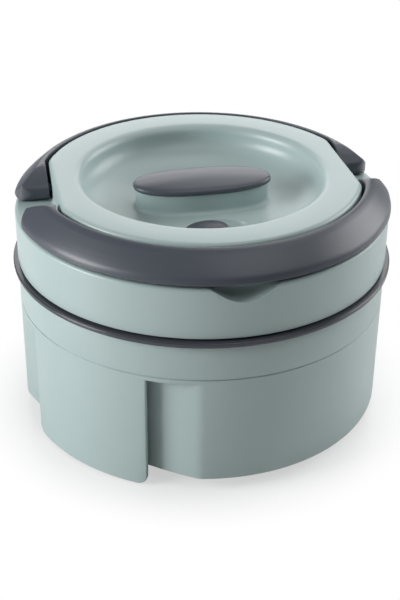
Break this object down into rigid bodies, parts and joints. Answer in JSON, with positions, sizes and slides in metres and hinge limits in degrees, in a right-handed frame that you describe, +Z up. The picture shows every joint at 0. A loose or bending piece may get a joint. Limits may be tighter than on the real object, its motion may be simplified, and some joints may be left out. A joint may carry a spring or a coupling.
{
  "type": "insulated food jar",
  "caption": "Round insulated food jar with a twist-lock lid, fold-up carrying handles, a bar knob in a dish, a sliding steam vent and grip flaps on its sides.",
  "frame": {"origin": "on the table, under the middle of the jar", "axes": "+Z up; the finger notch faces -Y; the knob and the handles' hinges run along X"},
  "size_m": [0.192, 0.192, 0.127],
  "materials": {
    "green_plastic": "satin",
    "dark_plastic": "satin",
    "steel": "brushed",
    "hardware_steel": "plain",
    "foam": "rigid foam",
    "rubber": "matte",
    "silicone": "matte",
    "lining": "satin"
  },
  "bodies": {
    "jar": {"outer_casing": "green_plastic", "upper_collar": "green_plastic", "neck_ring": "dark_plastic", "inner_bowl": "steel", "body_foam": "foam", "base_cover": "dark_plastic", "foot_ring": "rubber", "base_screw_1": "hardware_steel", "base_screw_2": "hardware_steel", "base_screw_3": "hardware_steel", "base_screw_4": "hardware_steel"},
    "seal": {"lid_seal": "silicone"},
    "lid": {"lid_ring": "green_plastic", "lid_plate": "green_plastic", "knob_stem": "green_plastic", "knob_screw_1": "hardware_steel", "knob_screw_2": "hardware_steel", "knob_cap": "dark_plastic", "lid_liner": "lining", "lid_foam": "foam", "vent_tube": "lining", "vent_seal": "silicone", "liner_screw_1": "hardware_steel", "liner_screw_2": "hardware_steel", "liner_screw_3": "hardware_steel", "liner_screw_4": "hardware_steel", "front_pin_left": "hardware_steel", "front_pin_right": "hardware_steel", "rear_pin_left": "hardware_steel", "rear_pin_right": "hardware_steel"},
    "vent": {"vent_slider": "dark_plastic"},
    "front_carrier": {"front_handle": "dark_plastic"},
    "rear_carrier": {"rear_handle": "dark_plastic"}
  },
  "joints": [
    {"name": "lid_lift", "type": "slide", "parent": "jar", "child": "seal", "axis": [0, 0, 1], "range_m": [0, 0.1]},
    {"name": "lid_turn", "type": "hinge", "parent": "seal", "child": "lid", "pos_m": [0, 0, 0.099], "axis": [0, 0, 1], "range_deg": [-40, 0]},
    {"name": "front_handle_fold", "type": "hinge", "parent": "lid", "child": "front_carrier", "pos_m": [0, -0.0155, 0.117], "axis": [-1, 0, 0], "range_deg": [0, 93]},
    {"name": "rear_handle_fold", "type": "hinge", "parent": "lid", "child": "rear_carrier", "pos_m": [0, 0.0155, 0.117], "axis": [1, 0, 0], "range_deg": [0, 93]},
    {"name": "vent_slide", "type": "slide", "parent": "lid", "child": "vent", "axis": [1, 0, 0], "range_m": [0, 0.0095]}
  ]
}
